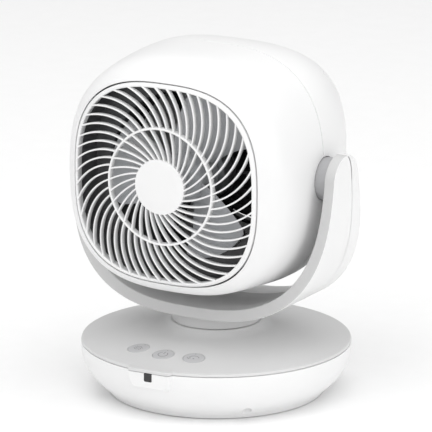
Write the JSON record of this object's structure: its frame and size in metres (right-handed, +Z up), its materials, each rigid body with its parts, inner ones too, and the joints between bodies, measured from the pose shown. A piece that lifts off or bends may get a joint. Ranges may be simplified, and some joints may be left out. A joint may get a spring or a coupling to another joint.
{
  "type": "desk fan",
  "caption": "Table-top air circulator: square round-cornered fan head with swirl grille, tilting in a yoke that swings on a round base with push buttons.",
  "frame": {"origin": "centre of the round base, on the swing axis and the surface that the feet rest on; the receiver housing moves the middle of the overall box 1.3 mm forward of it", "axes": "+Z up; the air blows towards -Y; +X is the right side as seen by someone who faces the grille"},
  "size_m": [0.284, 0.263, 0.3423],
  "materials": {
    "white_shell": "satin moulded",
    "satin_white": "satin moulded",
    "button_grey": "satin moulded",
    "black_lens": "polished",
    "blade_grey": "satin moulded",
    "dark_plastic": "matte moulded",
    "rubber": "matte",
    "steel": "plated",
    "circuit_board": "solder mask",
    "acetal": "smooth",
    "copper_wire": "enamelled"
  },
  "bodies": {
    "base": {"base_bowl": "white_shell", "base_cover": "satin_white", "rubber_feet": "rubber", "base_screws": "steel", "ballast_plate": "steel", "ballast_screws": "steel", "ir_window": "black_lens", "ir_receiver": "dark_plastic", "ir_board": "circuit_board", "power_inlet": "dark_plastic", "control_board": "circuit_board", "tact_switches": "dark_plastic", "board_screws": "steel", "swing_bracket": "satin_white", "bracket_screws": "steel", "spindle_bush": "acetal", "thrust_washer": "steel", "swing_motor": "steel", "swing_motor_screws": "steel"},
    "pinion": {"motor_pinion": "acetal", "pinion_shaft": "steel"},
    "button_wind": {"button_wind": "button_grey"},
    "button_power": {"button_power": "button_grey"},
    "button_swing": {"button_swing": "button_grey"},
    "yoke": {"yoke_front": "satin_white", "yoke_rear": "white_shell", "yoke_neck": "satin_white", "yoke_screws": "steel", "swing_gear": "acetal", "gear_retainer": "steel", "pivot_bosses": "satin_white"},
    "head": {"front_shell": "white_shell", "rear_shell": "white_shell", "shell_screws": "steel", "front_grille": "white_shell", "rear_grille": "dark_plastic", "air_duct": "dark_plastic", "trunnions": "steel", "tilt_washers": "steel", "pivot_clips": "steel", "motor_mount": "dark_plastic", "motor_screws": "steel", "motor_front_cap": "steel", "motor_rear_cap": "steel", "motor_stator": "steel", "motor_coils": "copper_wire", "motor_bearings": "steel", "motor_board": "circuit_board"},
    "impeller": {"impeller": "blade_grey", "impeller_nut": "blade_grey", "motor_shaft": "steel", "motor_rotor": "dark_plastic"}
  },
  "joints": [
    {"name": "swing", "type": "hinge", "parent": "base", "child": "yoke", "pos_m": [0, 0, 0.07], "axis": [0, 0, 1], "range_deg": [-40, 40]},
    {"name": "tilt", "type": "hinge", "parent": "yoke", "child": "head", "pos_m": [0, 0, 0.2237], "axis": [-1, 0, 0], "range_deg": [-15, 90]},
    {"name": "impeller_spin", "type": "hinge", "parent": "head", "child": "impeller", "pos_m": [0, -0.04, 0.2237], "axis": [0, -1, 0], "continuous": true},
    {"name": "pinion_spin", "type": "hinge", "parent": "base", "child": "pinion", "pos_m": [0, 0.036, 0.026], "axis": [0, 0, 1], "range_deg": [-152, 152]},
    {"name": "press_wind", "type": "slide", "parent": "base", "child": "button_wind", "axis": [0.0577, 0.1528, -0.9866], "range_m": [0, 0.0008], "stiffness_N_per_m": 900, "springref_m": -0.0003},
    {"name": "press_power", "type": "slide", "parent": "base", "child": "button_power", "axis": [0.0048, 0.1633, -0.9866], "range_m": [0, 0.0008], "stiffness_N_per_m": 900, "springref_m": -0.0003},
    {"name": "press_swing", "type": "slide", "parent": "base", "child": "button_swing", "axis": [-0.0486, 0.1559, -0.9866], "range_m": [0, 0.0008], "stiffness_N_per_m": 900, "springref_m": -0.0003}
  ],
  "couplings": [
    {"joint": "pinion_spin", "follows": "swing", "ratio": -3.8}
  ]
}
